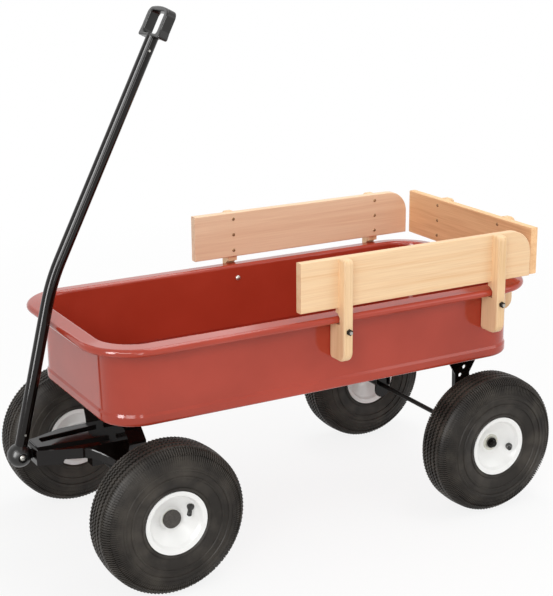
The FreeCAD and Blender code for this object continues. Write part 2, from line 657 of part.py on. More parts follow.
def yoke_plan(sketch, inset):
    """The pressed pan from its nose to the beam: straight sides that spread as far as the wings."""
    nose, rear = "Dim.yoke_front_half - %s" % inset, "Dim.yoke_rear_half - %s" % inset
    outline(sketch, [
        (YOKE_NOSE + " + %s" % inset, "-(%s)" % nose),
        (WING_X, "-(%s)" % rear),
        (BEAM_FRONT, "-(%s)" % rear),
        (BEAM_FRONT, rear),
        (WING_X, rear),
        (YOKE_NOSE + " + %s" % inset, nose)])


def wing_station(share):
    """How far out, front edge and top of the wing at a share of its span; its edge curves in plan."""
    half = WING_ROOT + " + (Dim.wing_half - %s) * %s" % (WING_ROOT, share)
    front = "%s + (%s - Dim.wing_tip - %s) * %s ^ 0.57" % (WING_X, BEAM_FRONT, WING_X, share)
    return half, front, "%s - Dim.wing_fall * %s" % (YOKE_Z, share)


def wing_section(sketch, share):
    """An angle section: the wing's plate, and its lip turned down along the front."""
    wall = "Dim.plate_sheet"
    half, front, top = wing_station(share)
    depth = "(Dim.yoke_rear_depth + (Dim.wing_tip_depth - Dim.yoke_rear_depth) * %s)" % share
    outline(sketch, [
        (front, "%s - %s" % (top, depth)),
        (front + " + " + wall, "%s - %s" % (top, depth)),
        (front + " + " + wall, "%s - %s" % (top, wall)),
        (BEAM_FRONT, "%s - %s" % (top, wall)),
        (BEAM_FRONT, top),
        (front, top)])


def on_yoke_rim(edge):
    """Is this edge part of the pan's and the wings' upper front edge?"""
    root, span = size(WING_ROOT), size("Dim.wing_half - " + WING_ROOT)
    for vertex in edge.Vertexes:
        share = max(abs(vertex.Y) - root, 0) / span
        top = size(YOKE_Z) - size("Dim.wing_fall") * share
        if abs(vertex.Z - top) > 0.01 or vertex.X > size(BEAM_FRONT) - 1:
            return False
    return True


def ridge_half(x):
    """Half width of the raised border at x along the yoke, between its nose and its tail."""
    share = "((%s - %s) / (%s - %s))" % (x, RIDGE_NOSE, RIDGE_TAIL, RIDGE_NOSE)
    return "(Dim.ridge_front_half + (Dim.ridge_rear_half - Dim.ridge_front_half) * %s)" % share


def make_ridges(body, top):
    """A raised border round a long recess that is open towards the beam."""
    border = new_sketch(body, "XY_Plane", top)
    front, rear = ridge_half(RIDGE_NOSE), ridge_half(RIDGE_TAIL)
    outline(border, [
        (RIDGE_NOSE, "-" + front),
        (RIDGE_TAIL, "-" + rear),
        (RIDGE_TAIL, rear),
        (RIDGE_NOSE, front)])
    pad(body, border, "Dim.ridge_rise")
    recess = new_sketch(body, "XY_Plane", top + " + Dim.ridge_rise")
    start, r = "(%s + Dim.ridge_nose)" % RIDGE_NOSE, "Dim.ridge_width"
    near = "(%s - Dim.ridge_width)" % ridge_half(start)
    far = "(%s - Dim.ridge_width)" % ridge_half(RIDGE_TAIL)
    outline(recess, [
        (start, "-(%s - %s)" % (near, r)),
        ("%s + %s" % (start, r), "-" + near, r, 1),
        (RIDGE_TAIL, "-" + far),
        (RIDGE_TAIL, far),
        ("%s + %s" % (start, r), near),
        (start, "%s - %s" % (near, r), r, 1)])
    pocket(body, recess, "Dim.ridge_rise")
    crest = size(top + " + Dim.ridge_rise")
    round_edges(body, "Dim.ridge_round", lambda edge: all(
        abs(vertex.Z - crest) < 0.01 and vertex.X < size(RIDGE_TAIL) for vertex in edge.Vertexes))


def make_yoke():
    """An upturned steel pan, deeper at its nose, with a raked wing out to each end of the beam."""
    body = new_body("yoke")
    top, wall = YOKE_Z, "Dim.plate_sheet"
    plan = new_sketch(body, "XY_Plane", top)
    yoke_plan(plan, "0")
    pad(body, plan, "Dim.yoke_front_depth", back=True)
    for side in ("-", ""):
        sections = []
        for share in WING_SHARES:
            half = wing_station(share)[0]
            section = new_sketch(body, "XZ_Plane", "-(%s(%s))" % (side, half))
            wing_section(section, share)
            sections.append(section)
        wing = body.newObject("PartDesign::AdditiveLoft", "wing")
        wing.Profile = sections[0]
        wing.Sections = sections[1:]
        wing.Ruled = True
    round_edges(body, "Dim.yoke_bend", on_yoke_rim)
    hollow = new_sketch(body, "XY_Plane", "%s - %s" % (top, wall))
    yoke_plan(hollow, wall)
    pocket(body, hollow, "Dim.yoke_front_depth")
    step = new_sketch(body, "XZ_Plane")
    below = top + " - Dim.yoke_front_depth - 1"
    outline(step, [
        (YOKE_STEP, below),
        (BEAM_FRONT, below),
        (BEAM_FRONT, top + " - Dim.yoke_rear_depth"),
        (YOKE_STEP + " + 4", top + " - Dim.yoke_rear_depth")])
    pocket(body, step, "Dim.yoke_rear_half * 2", both_ways=True)
    slot = new_sketch(body, "YZ_Plane", YOKE_NOSE)
    low = "%s - Dim.tongue_height / 2 - 6 * Dim.fit" % PIVOT_Z
    half = "(Dim.tongue / 2 + 2 * Dim.running_fit)"
    box(slot, "-" + half, low, half, "%s - %s" % (top, wall))
    pocket(body, slot, "20", both_ways=True)
    make_ridges(body, top)


def make_tongue():
    """The plate welded under the yoke's pan, with the eye that the handle swings on."""
    body = new_body("ball_tongue")
    side = new_sketch(body, "XZ_Plane")
    x, z, r = PIVOT_X, PIVOT_Z, "Dim.tongue_height / 2"
    high = YOKE_Z + " - Dim.plate_sheet"
    rear = YOKE_STEP + " + 24"
    outline(side, [
        (x + " + 12", z + " - " + r),
        (x + " + 17", high + " - Dim.tongue_height"),
        (rear, high + " - Dim.tongue_height"),
        (rear, high),
        (x + " + 24", high),
        (x + " + 12", z + " + " + r),
        (x, z + " + " + r),
        (x + " - " + r, z, r, 1),
        (x, z + " - " + r, r, 1)])
    pad(body, side, "Dim.tongue", both_ways=True)
    eye = new_sketch(body, "XZ_Plane")
    circle(eye, x, z, "Dim.pivot_bolt / 2 + Dim.running_fit")
    pocket(body, eye)


# ---- handle --------------------------------------------------------------------------------------
# Drawn with the ball's centre at the origin and the lower tube standing straight up, then leaned.

BALL_R = "Dim.ball / 2"
TUBE_R = "Dim.handle_tube / 2"
BORE_R = "(Dim.handle_tube / 2 - Dim.handle_wall)"
CHEEK_IN = "(Dim.tongue / 2 + Dim.fit)"
CHEEK_OUT = "(Dim.tongue / 2 + Dim.fit + Dim.cheek)"
CHEEK_R = "(Dim.tongue_height / 2 + 1)"
HANDLE_TURN = "(Dim.upper_lean - Dim.lower_lean)"
BOLT_SEAT = "(Dim.ball / 2 - Dim.bolt_sink)"
CLEVIS_PIN_Z = "(Dim.tube_start + Dim.clevis_pin_up)"
PIN_HOLE = "(Dim.cross_pin / 2 + Dim.running_fit)"


def place_handle(item):
    place(item, PIVOT_X, "0", PIVOT_Z, "Dim.lower_lean", (0, 1, 0))


def make_handle_tube():
    """A steel tube, straight up from the ball, bent once through a long radius."""
    body = new_body("handle_tube")
    path = new_sketch(body, "XZ_Plane")
    start, r = "Dim.tube_start", "Dim.handle_bend"
    run_in = "%s * tan(%s * 0.5 deg)" % (r, HANDLE_TURN)
    lean_x, lean_z = "sin(%s * 1 deg)" % HANDLE_TURN, "cos(%s * 1 deg)" % HANDLE_TURN
    vertex = "Dim.lower_length"
    outline(path, [
        ("0", start),
        ("0", "%s - %s" % (vertex, run_in)),
        ("%s * %s" % (run_in, lean_x), "%s + %s * %s" % (vertex, run_in, lean_z), r, -1),
        ("Dim.upper_length * %s" % lean_x, "%s + Dim.upper_length * %s" % (vertex, lean_z))], closed=False)
    ring = new_sketch(body, "XY_Plane", start)
    circle(ring, "0", "0", TUBE_R)
    circle(ring, "0", "0", BORE_R)
    tube = body.newObject("PartDesign::AdditivePipe", "tube")
    tube.Profile = ring
    tube.Spine = path
    holes = new_sketch(body, "XZ_Plane")
    circle(holes, "0", CLEVIS_PIN_Z, PIN_HOLE)
    x, z = grip_point("-Dim.grip_pin_down")
    circle(holes, x, z, PIN_HOLE)
    pocket(body, holes)
    place_handle(body)


def grip_point(along):
    """A point on the upper tube's axis, measured along it from its top end."""
    reach = "(Dim.upper_length + (%s))" % along
    x = "%s * sin(%s * 1 deg)" % (reach, HANDLE_TURN)
    return x, "Dim.lower_length + %s * cos(%s * 1 deg)" % (reach, HANDLE_TURN)


def make_clevis():
    """A forging pressed into the foot of the tube, with two cheeks either side of the tongue."""
    body = new_body("handle_clevis")
    side = new_sketch(body, "XZ_Plane")
    outline(side, [
        (CHEEK_R, "0", CHEEK_R, 1),
        (CHEEK_R + " - 2", "Dim.tube_start"),
        ("-%s + 2" % CHEEK_R, "Dim.tube_start"),
        ("-" + CHEEK_R, "0"),
        ("0", "-" + CHEEK_R, CHEEK_R, 1)])
    pad(body, side, "%s * 2" % CHEEK_OUT, both_ways=True)
    shank = new_sketch(body, "XY_Plane", "Dim.tube_start")
    circle(shank, "0", "0", BORE_R + " - Dim.running_fit")
    pad(body, shank, "Dim.shank_length")
    gap = new_sketch(body, "XZ_Plane")
    wide = CHEEK_R + " + 2"
    box(gap, "-(%s)" % wide, "-(%s)" % wide, wide, "Dim.tube_start - 5.5")
    pocket(body, gap, "%s * 2" % CHEEK_IN, both_ways=True)
    bores = new_sketch(body, "XZ_Plane")
    circle(bores, "0", "0", "Dim.pivot_bolt / 2 + Dim.running_fit")
    circle(bores, "0", CLEVIS_PIN_Z, PIN_HOLE)
    pocket(body, bores)
    place_handle(body)


def slot_side(sketch):
    """The wedge that the tongue sweeps as the handle drops, with its edges clear of the tongue."""
    back = "Dim.tongue_height / 2 + Dim.fit"
    up = "(Dim.lower_lean * 1 deg)"
    down = "((Dim.handle_drop + 7 - Dim.lower_lean) * 1 deg)"
    far = "Dim.ball"
    outline(sketch, [
        ("-(%s) * sin%s" % (back, up), "(%s) * cos%s" % (back, up)),
        ("-(%s) * sin%s" % (back, down), "-(%s) * cos%s" % (back, down), back, 1),
        ("%s * cos%s - (%s) * sin%s" % (far, down, back, down),
         "-%s * sin%s - (%s) * cos%s" % (far, down, back, down)),
        (far + " * 1.5", "-%s * 1.5" % far),
        ("%s * cos%s - (%s) * sin%s" % (far, up, back, up),
         "%s * sin%s + (%s) * cos%s" % (far, up, back, up))])


def make_ball_half(label, side):
    """Half of the moulded ball that closes round the clevis, slotted for the tongue's travel."""
    body = new_body(label)
    section = new_sketch(body, "XY_Plane")
    if side < 0:
        outline(section, [(BALL_R, "0", BALL_R, 1), ("0", "0"), ("0", "-" + BALL_R)])
    else:
        outline(section, [("0", BALL_R, BALL_R, 1), ("0", "0"), (BALL_R, "0")])
    spin(body, section, "V_Axis")
    cavity = new_sketch(body, "XZ_Plane")
    r = "(%s + Dim.fit)" % CHEEK_R
    outline(cavity, [
        (r, "0", r, 1),
        (r + " - 2", "Dim.tube_start"),
        ("-%s + 2" % r, "Dim.tube_start"),
        ("-" + r, "0"),
        ("0", "-" + r, r, 1)])
    pocket(body, cavity, "(%s + Dim.fit) * 2" % CHEEK_OUT, both_ways=True)
    slot = new_sketch(body, "XZ_Plane")
    slot_side(slot)
    pocket(body, slot, "(Dim.tongue / 2 + 0.8) * 2", both_ways=True)
    neck = new_sketch(body, "XY_Plane", "Dim.tube_start")
    circle(neck, "0", "0", TUBE_R + " + Dim.running_fit")
    pocket(body, neck, "20", back=True)
    bore = new_sketch(body, "XZ_Plane")
    circle(bore, "0", "0", "Dim.pivot_bolt / 2 + Dim.running_fit")
    pocket(body, bore)
    seat = new_sketch(body, "XZ_Plane", "%d * %s" % (-side, BOLT_SEAT))
    circle(seat, "0", "0", "Dim.bolt_well / 2")
    pocket(body, seat, "Dim.bolt_sink + 1", back=side < 0)
    place_handle(body)


def make_pivot_bolt():
    seat, radius, gap = size(BOLT_SEAT), size("Dim.pivot_bolt") / 2, size("Dim.running_fit")
    nut_height = size("Dim.pivot_nut")
    where = FreeCAD.Placement(FreeCAD.Vector(size(PIVOT_X), 0, size(PIVOT_Z)),
                              FreeCAD.Rotation(FreeCAD.Vector(0, 1, 0), size("Dim.lower_lean")))
    bolt = rod(radius, 2 * seat + nut_height, (0, -seat, 0), (0, 1, 0))
    bolt = bolt.fuse(dome(size("Dim.pivot_head"), nut_height, (0, -seat, 0), (0, -1, 0)))
    group("pivot_bolt", [moved(bolt, where)])
    nut = hexagon(size("Dim.pivot_hex"), nut_height, (0, seat, 0), (0, 1, 0))
    nut = nut.cut(rod(radius + gap, nut_height, (0, seat, 0), (0, 1, 0)))
    group("pivot_nut", [moved(nut, where)])
    pin, reach = size("Dim.cross_pin") / 2, size(TUBE_R) + 0.4
    foot_pin = rod(pin, 2 * reach, (0, -reach, size(CLEVIS_PIN_Z)), (0, 1, 0))
    group("clevis_pin", [moved(foot_pin, where)])
    x, z = grip_point("-Dim.grip_pin_down")
    top_pin = rod(pin, 2 * reach, (size(x), -reach, size(z)), (0, 1, 0))
    group("grip_pin", [moved(top_pin, where)])


def make_grip():
    """A moulded loop with a crowned top, small lips at its lower corners and a plug for the tube."""
    body = new_body("loop_grip")
    half, high, r = "(Dim.grip_width / 2 - Dim.grip_lip / 2)", "Dim.grip_height", "Dim.grip_corner"
    rise, lip = "Dim.grip_shoulder", "Dim.grip_lip"
    base = "(%s - %s)" % (high, rise)
    run = "(%s - %s)" % (half, r)
    crown = "((%s ^ 2 + %s ^ 2 - %s ^ 2) / (2 * (%s - %s)))" % (run, rise, r, rise, r)
    lean_x = "(%s * %s / (%s - %s))" % (crown, run, crown, r)
    lean_z = "(%s - %s + %s * (%s - %s) / (%s - %s))" % (high, crown, crown, crown, rise, crown, r)
    foot = "(%s - %s / 2)" % (half, lip)
    arch = "((%s ^ 2 + Dim.grip_arch ^ 2) / (2 * Dim.grip_arch))" % foot
    low = "(Dim.fit - Dim.grip_arch)"
    face = new_sketch(body, "YZ_Plane")
    outline(face, [
        (foot, low, arch, -1),
        ("%s + %s / 2" % (half, lip), "%s + %s" % (lip, low), lip, 1),
        (half, lip + " + 10"),
        (half, base),
        (lean_x, lean_z, r, 1),
        ("-" + lean_x, lean_z, crown, 1),
        ("-" + half, base, r, 1),
        ("-" + half, lip + " + 10"),
        ("-%s - %s / 2" % (half, lip), "%s + %s" % (lip, low)),
        ("-" + foot, low, lip, 1)])
    pad(body, face, "Dim.grip_depth", both_ways=True)
    hole = new_sketch(body, "YZ_Plane")
    inside, low, top = "(%s - Dim.grip_leg)" % half, "Dim.grip_base", "(%s - Dim.grip_bar)" % high
    c = "Dim.grip_hole_corner"
    outline(hole, [
        ("%s - %s" % (inside, c), low),
        (inside, "%s + %s" % (low, c), c, 1),
        (inside, "%s - %s" % (top, c)),
        ("%s - %s" % (inside, c), top, c, 1),
        ("-%s + %s" % (inside, c), top),
        ("-" + inside, "%s - %s" % (top, c), c, 1),
        ("-" + inside, "%s + %s" % (low, c)),
        ("-%s + %s" % (inside, c), low, c, 1)])
    pocket(body, hole)
    deep = size("Dim.grip_depth") / 2

    def on_a_face(edge):
        return all(abs(abs(vertex.X) - deep) < 0.01 for vertex in edge.Vertexes)

    round_edges(body, "Dim.grip_round", on_a_face)
    boss = new_sketch(body, "XY_Plane")
    circle(boss, "0", "0", TUBE_R + " + Dim.fit")
    pad(body, boss, "Dim.grip_base")
    plug = new_sketch(body, "XY_Plane")
    circle(plug, "0", "0", BORE_R + " - Dim.running_fit")
    pad(body, plug, "Dim.grip_plug", back=True)
    pin = new_sketch(body, "XZ_Plane")
    circle(pin, "0", "-Dim.grip_pin_down", PIN_HOLE)
    pocket(body, pin)
    lean = FreeCAD.Rotation(FreeCAD.Vector(0, 1, 0), size("Dim.lower_lean"))
    x, z = grip_point("0")
    top_end = lean.multVec(FreeCAD.Vector(size(x), 0, size(z)))
    body.Placement = FreeCAD.Placement(
        top_end + FreeCAD.Vector(size(PIVOT_X), 0, size(PIVOT_Z)),
        FreeCAD.Rotation(FreeCAD.Vector(0, 1, 0), size("Dim.upper_lean")))


# ---- rear brackets -------------------------------------------------------------------------------

def make_rear_bracket(label, side):
    """A pressed angle: a flange bolted under the floor and a tapering leg down to the axle."""
    body = new_body(label)
    top, low = BED_Z, "%s - Dim.bracket_foot" % HUB_Z
    leg = new_sketch(body, "XZ_Plane", "-(%d * Dim.bracket_out)" % side)
    half = "Dim.bracket_width / 2"
    outline(leg, [
        (half, low + " + " + half, half, 1),
        (half, top + " - 40"),
        ("Dim.bracket_flange / 2", top + " - 6"),
        ("Dim.bracket_flange / 2", top),
        ("-Dim.bracket_flange / 2", top),
        ("-Dim.bracket_flange / 2", top + " - 6"),
        ("-" + half, top + " - 40"),
        ("-" + half, low + " + " + half),
        ("0", low, half, 1)])
    pad(body, leg, "Dim.plate_sheet", back=side < 0)
    flange = new_sketch(body, "XY_Plane", top)
    inner, outer = "%d * (Dim.bracket_out - Dim.bracket_depth)" % side, "%d * Dim.bracket_out" % side
    low_y, high_y = (inner, outer) if side > 0 else (outer, inner)
    box(flange, "-Dim.bracket_flange / 2", low_y, "Dim.bracket_flange / 2", high_y)
    pad(body, flange, "Dim.plate_sheet", back=True)
    for x in ("-" + half, half + " - Dim.plate_sheet"):
        rib = new_sketch(body, "YZ_Plane", x)
        foot = "%d * (Dim.bracket_out - 8)" % side
        head = "%d * (Dim.bracket_out - 12)" % side
        points = [(outer, low + " + 26"), (outer, top), (head, top), (foot, low + " + 26")]
        outline(rib, points if side > 0 else points[::-1])
        pad(body, rib, "Dim.plate_sheet")
    holes = new_sketch(body, "XZ_Plane", "-(%d * Dim.bracket_out)" % side)
    circle(holes, "0", HUB_Z, "Dim.axle / 2 + Dim.running_fit")
    circle(holes, "4", top + " - 27.5", "Dim.bracket_hole / 2")
    circle(holes, "-5", top + " - 42.5", "Dim.bracket_hole / 2")
    pocket(body, holes, "20", both_ways=True)
    bolts = new_sketch(body, "XY_Plane", top)
    for x, y in bracket_bolt_places():
        if (size(y) > 0) == (side > 0):
            circle(bolts, "%s - %s" % (x, REAR_X), y, "Dim.stud / 2 + Dim.fit")
    pocket(body, bolts, "20", both_ways=True)
    place(body, REAR_X)


def make_floor_fasteners():
    """Studs welded under the floor, that the bolster and the brackets hang on, and their nuts."""
    top, low = size(BED_Z), size(BED_Z + " - Dim.plate_sheet")
    radius, gap, spare = size("Dim.stud") / 2, size("Dim.running_fit"), size("Dim.stud_spare")
    nut_height = size("Dim.stud_nut")
    for name, places in (("bolster", bolster_bolt_places()), ("bracket", bracket_bolt_places())):
        studs, nuts = [], []
        for place_x, place_y in places:
            x, y = size(place_x), size(place_y)
            studs.append(rod(radius, top - low + spare, (x, y, low - spare), (0, 0, 1)))
            nut = hexagon(size("Dim.stud_hex"), nut_height, (x, y, low - nut_height), (0, 0, 1))
            nuts.append(nut.cut(rod(radius + gap, nut_height, (x, y, low - nut_height), (0, 0, 1))))
        group(name + "_bolts", studs)
        group(name + "_nuts", nuts)


# ---- axles and wheels ----------------------------------------------------------------------------

def make_axle_set(end, x, bracket_face, past_nut, nose):
    """An axle rod with tube spacers, washers and pressed-on nuts, mirrored left and right."""
    axle, gap, z = size("Dim.axle") / 2, size("Dim.running_fit"), size(HUB_Z)
    hub, face, past = size("Dim.track") / 2, size(HUB_FACE), size(NUT_FACE)
    washer, sheet_t = size("Dim.washer") / 2, size("Dim.washer_sheet")
    tip = hub + past + past_nut
    spacers, washers, nuts = [], [], []
    group(end + "_axle", [rod(axle, 2 * tip, (x, -tip, z), (0, 1, 0))])
    for side in (-1, 1):

        def ring(radius, start, length):
            blank = rod(radius, length, (x, side * start, z), (0, side, 0))
            return blank.cut(rod(axle + gap, length, (x, side * start, z), (0, side, 0)))

        inner_end = hub - face - sheet_t
        spacers.append(ring(size("Dim.spacer") / 2, bracket_face, inner_end - bracket_face))
        washers.append(ring(washer, inner_end, sheet_t))
        washers.append(ring(washer, hub + face, sheet_t))
        nut = ring(size("Dim.push_nut") / 2, hub + face + sheet_t, size("Dim.push_nut_sheet"))
        if nose:
            nut = nut.fuse(ring(size("Dim.push_nut_nose") / 2, hub + past, nose))
        nuts.append(nut)
    group(end + "_spacers", spacers)
    group(end + "_washers", washers)
    group(end + "_push_nuts", nuts)


def make_front_caps():
    """Round caps pressed over the front axle's nuts, open towards the wheel."""
    caps = []
    hub, radius, wall = size("Dim.track") / 2, size("Dim.cap") / 2, size("Dim.cap_skin")
    start = size(HUB_FACE + " + Dim.washer_sheet") + 0.1
    deep = size(NUT_FACE + " + Dim.front_axle_end") + 0.1 + wall - start
    for side in (-1, 1):
        base = (size(FRONT_X), side * (hub + start), size(HUB_Z))
        outer_y = side * (hub + start + deep)
        cap = rod(radius, deep, base, (0, side, 0))
        rim_edge = [edge for edge in cap.Edges if abs(edge.CenterOfMass.y - outer_y) < 0.01]
        cap = cap.makeFillet(wall - 0.1, rim_edge)
        caps.append(cap.cut(rod(radius - wall, deep - wall, base, (0, side, 0))))
    group("front_caps", caps)


def make_axles():
    make_axle_set("front", size(FRONT_X), size("Dim.beam_leg_half"), size("Dim.front_axle_end"), 0)
    past_nut = size("Dim.rear_axle_end")
    nose = past_nut - size("Dim.rear_axle_tip")
    make_axle_set("rear", size(REAR_X), size("Dim.bracket_out"), past_nut, nose)
    make_front_caps()


def make_tyre(label):
    """A pneumatic tyre: crowned tread, round shoulders, bulging sidewalls and square beads."""
    body = new_body(label)
    half = new_sketch(body, "XY_Plane")
    tread, wide, bead = HUB_Z, "Dim.tyre_width / 2", "Dim.rim_bead / 2"
    wall, crown, lip = "Dim.tyre_wall", "Dim.tyre_tread", "Dim.rim_lip_out - Dim.rim_sheet - 1"
    outline(half, [
        (bead, "-(%s)" % lip),
        (bead + " + 12", "-(%s + 1)" % lip),
        ("(%s + %s) / 2 - 2" % (bead, tread), "-(%s)" % wide),
        (tread + " - 22", "-(%s - 1)" % wide),
        (tread + " - 8", "-(%s - 10)" % wide),
        (tread + " - 1.5", "-(%s / 2)" % wide),
        (tread, "0"),
        (tread + " - 1.5", "%s / 2" % wide),
        (tread + " - 8", "%s - 10" % wide),
        (tread + " - 22", "%s - 1" % wide),
        ("(%s + %s) / 2 - 2" % (bead, tread), wide),
        (bead + " + 12", "%s + 1" % lip),
        (bead, lip),
        (bead, "%s - 9" % lip),
        (bead + " + 10", "%s - 8" % lip),
        ("(%s + %s) / 2 - 2" % (bead, tread), "%s - %s" % (wide, wall)),
        (tread + " - 22", "%s - %s" % (wide, wall)),
        (tread + " - " + crown, "%s / 2" % wide),
        (tread + " - " + crown, "-(%s / 2)" % wide),
        (tread + " - 22", "-(%s - %s)" % (wide, wall)),
        ("(%s + %s) / 2 - 2" % (bead, tread), "-(%s - %s)" % (wide, wall)),
        (bead + " + 10", "-(%s - 8)" % lip),
        (bead, "-(%s - 9)" % lip)])
    spin(body, half, "V_Axis")
    return body


# The dish's slanted wall, from the flat round the hub out to the lip, and the valve that stands on it.
DISH_FOOT_R = "(Dim.hub_bore / 2 + Dim.hub_face + 4)"
DISH_FOOT_OUT = "(Dim.hub_half + 2)"
DISH_EDGE_R = "(Dim.rim_bead / 2 - Dim.dish_edge)"
DISH_EDGE_OUT = "(Dim.rim_lip_out - Dim.dish_edge_out)"
DISH_SLOPE = "((%s - %s) / (%s - %s))" % (DISH_EDGE_OUT, DISH_FOOT_OUT, DISH_EDGE_R, DISH_FOOT_R)
VALVE_OUT = "(%s + (Dim.valve_circle - %s) * %s)" % (DISH_FOOT_OUT, DISH_FOOT_R, DISH_SLOPE)


def make_rim(label):
    """The wheel's moulded centre: a concave dish each side, a drop well, bead seats and lips."""
    body = new_body(label)
    section = new_sketch(body, "XY_Plane")
    sheet_t, bead = "Dim.rim_sheet", "Dim.rim_bead / 2"
    lip, out, seat_out = bead + " + Dim.rim_lip_height", "Dim.rim_lip_out", "18"
    hub, bore, well = "Dim.hub_half", "Dim.hub_bore / 2", bead + " - Dim.rim_well"
    outline(section, [
        (bore, "-" + hub),
        (bore + " + Dim.hub_face", "-" + hub),
        (DISH_FOOT_R, "-" + DISH_FOOT_OUT),
        (DISH_EDGE_R, "-" + DISH_EDGE_OUT),
        (bead + " - 2", "-(%s - %s)" % (out, sheet_t)),
        (lip, "-%s" % out),
        (lip, "-(%s - %s)" % (out, sheet_t)),
        (bead, "-(%s - %s - 1)" % (out, sheet_t)),
        (bead, "-" + seat_out),
        (well, "-%s + 6" % seat_out),
        (well, seat_out + " - 6"),
        (bead, seat_out),
        (bead, "%s - %s - 1" % (out, sheet_t)),
        (lip, "%s - %s" % (out, sheet_t)),
        (lip, out),
        (bead + " - 2", "%s - %s" % (out, sheet_t)),
        (DISH_EDGE_R, DISH_EDGE_OUT),
        (DISH_FOOT_R, DISH_FOOT_OUT),
        (bore + " + Dim.hub_face", hub),
        (bore, hub)])
    spin(body, section, "V_Axis")
    return body


def on_dish(sketch, side):
    """Moves a sketch's origin to the valve's foot, with its Y axis square to the dish, outwards."""
    lean = "atan(%s)" % DISH_SLOPE
    sketch.setExpression("AttachmentOffset.Base.x", "Dim.valve_circle")
    sketch.setExpression("AttachmentOffset.Base.y", "%d * %s" % (side, VALVE_OUT))
    sketch.setExpression("AttachmentOffset.Rotation.Angle", lean if side > 0 else "180 deg - " + lean)


def cut_valve_seat(body, side):
    seat = new_sketch(body, "XY_Plane")
    on_dish(seat, side)
    box(seat, "0", "-Dim.valve_seat", "Dim.valve / 2 + Dim.running_fit", "2")
    hole = body.newObject("PartDesign::Groove", body.Label + "_valve_seat")
    hole.Profile = seat
    hole.ReferenceAxis = (seat, ["V_Axis"])
    hole.Angle = 360


def make_valve(label, side):
    """The moulded stem: a cone that bears on the hollow dish, a straight neck and its cap."""
    body = new_body(label)
    section = new_sketch(body, "XY_Plane")
    on_dish(section, side)
    neck, foot, cap = "Dim.valve / 2", "Dim.valve_boot / 2", "Dim.valve_length - Dim.valve_cap"
    outline(section, [
        (neck, "-Dim.valve_seat"),
        (neck, "0.6"),
        (foot, "0.6"),
        (foot, "2"),
        (neck, "Dim.valve_boot - 3"),
        (neck, cap),
        (neck + " + 0.4", cap),
        (neck + " + 0.4", "Dim.valve_length - 1"),
        (neck + " - 0.6", "Dim.valve_length"),
        ("0", "Dim.valve_length"),
        ("0", "-Dim.valve_seat")])
    spin(body, section, "V_Axis")
    return body


def make_bushes(wheel, x, side):
    """Two flanged bushes pressed into the hub from its ends."""
    z, hub = size(HUB_Z), side * size("Dim.track") / 2
    half, gap = size("Dim.hub_half"), size("Dim.running_fit")
    bushes = []
    for way in (-1, 1):
        out = (0, way, 0)
        sleeve = rod(size("Dim.hub_bore") / 2 - gap, half - 1, (x, hub + way, z), out)
        flange = rod(size("Dim.bush_flange") / 2, size("Dim.bush_lip"), (x, hub + way * half, z), out)
        bore = rod(size("Dim.axle") / 2 + gap, half + size("Dim.bush_lip"), (x, hub + way, z), out)
        bushes.append(sleeve.fuse(flange).cut(bore))
    group("hub_bushes_" + wheel, bushes)


def make_wheels():
    for end, x in (("front", FRONT_X), ("rear", REAR_X)):
        turn = "-Dim.%s_valve_turn" % end
        for name, side in (("left", -1), ("right", 1)):
            wheel = "%s_%s" % (end, name)
            rim = make_rim("rim_" + wheel)
            cut_valve_seat(rim, side)
            for item in (make_tyre("tyre_" + wheel), rim, make_valve("valve_" + wheel, side)):
                place(item, x, "%d * Dim.track / 2" % side, HUB_Z, turn, (0, 1, 0))
            make_bushes(wheel, size(x), side)


# ---- assembly ------------------------------------------------------------------------------------

make_tray()
make_boards()
make_stakes()
make_stake_fasteners()
make_bolster()
make_king_pin()
make_axle_beam()
make_yoke()
make_tongue()
make_handle_tube()
make_clevis()
make_ball_half("ball_half_left", -1)
make_ball_half("ball_half_right", 1)
make_pivot_bolt()
make_grip()
make_rear_bracket("rear_bracket_left", -1)
make_rear_bracket("rear_bracket_right", 1)
make_floor_fasteners()
make_axles()
make_wheels()
doc.recompute()

for item in doc.Objects:
    if "Invalid" in item.State or "Error" in item.State:
        raise RuntimeError("%s did not build: %s" % (item.Label, item.State))
for item in parts:
    if item.Shape.isNull() or not item.Shape.isValid():
        raise RuntimeError("%s has no valid shape" % item.Label)

# The origin is under the middle of the whole wagon's box, on the ground.
whole = FreeCAD.BoundBox()
for item in parts:
    whole.add(item.Shape.optimalBoundingBox(True))
to_origin = FreeCAD.Vector(-(whole.XMin + whole.XMax) / 2, -(whole.YMin + whole.YMax) / 2, -whole.ZMin)
for item in parts:
    item.Placement.Base = item.Placement.Base + to_origin

os.makedirs("parts", exist_ok=True)
for item in parts:
    item.Shape.exportStep("parts/%s.step" % item.Label)

print("size", whole.XLength, whole.YLength, whole.ZLength)
print("bed centre", to_origin)
print("king pin", FreeCAD.Vector(size(FRONT_X), 0, size(BEAM_Z)) + to_origin)
print("handle pivot", FreeCAD.Vector(size(PIVOT_X), 0, size(PIVOT_Z)) + to_origin)
print("front axle", FreeCAD.Vector(size(FRONT_X), 0, size(HUB_Z)) + to_origin)
print("rear axle", FreeCAD.Vector(size(REAR_X), 0, size(HUB_Z)) + to_origin)
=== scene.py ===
from math import atan2, cos, degrees, pi, radians, sin

import bpy
from mathutils import Matrix, Vector


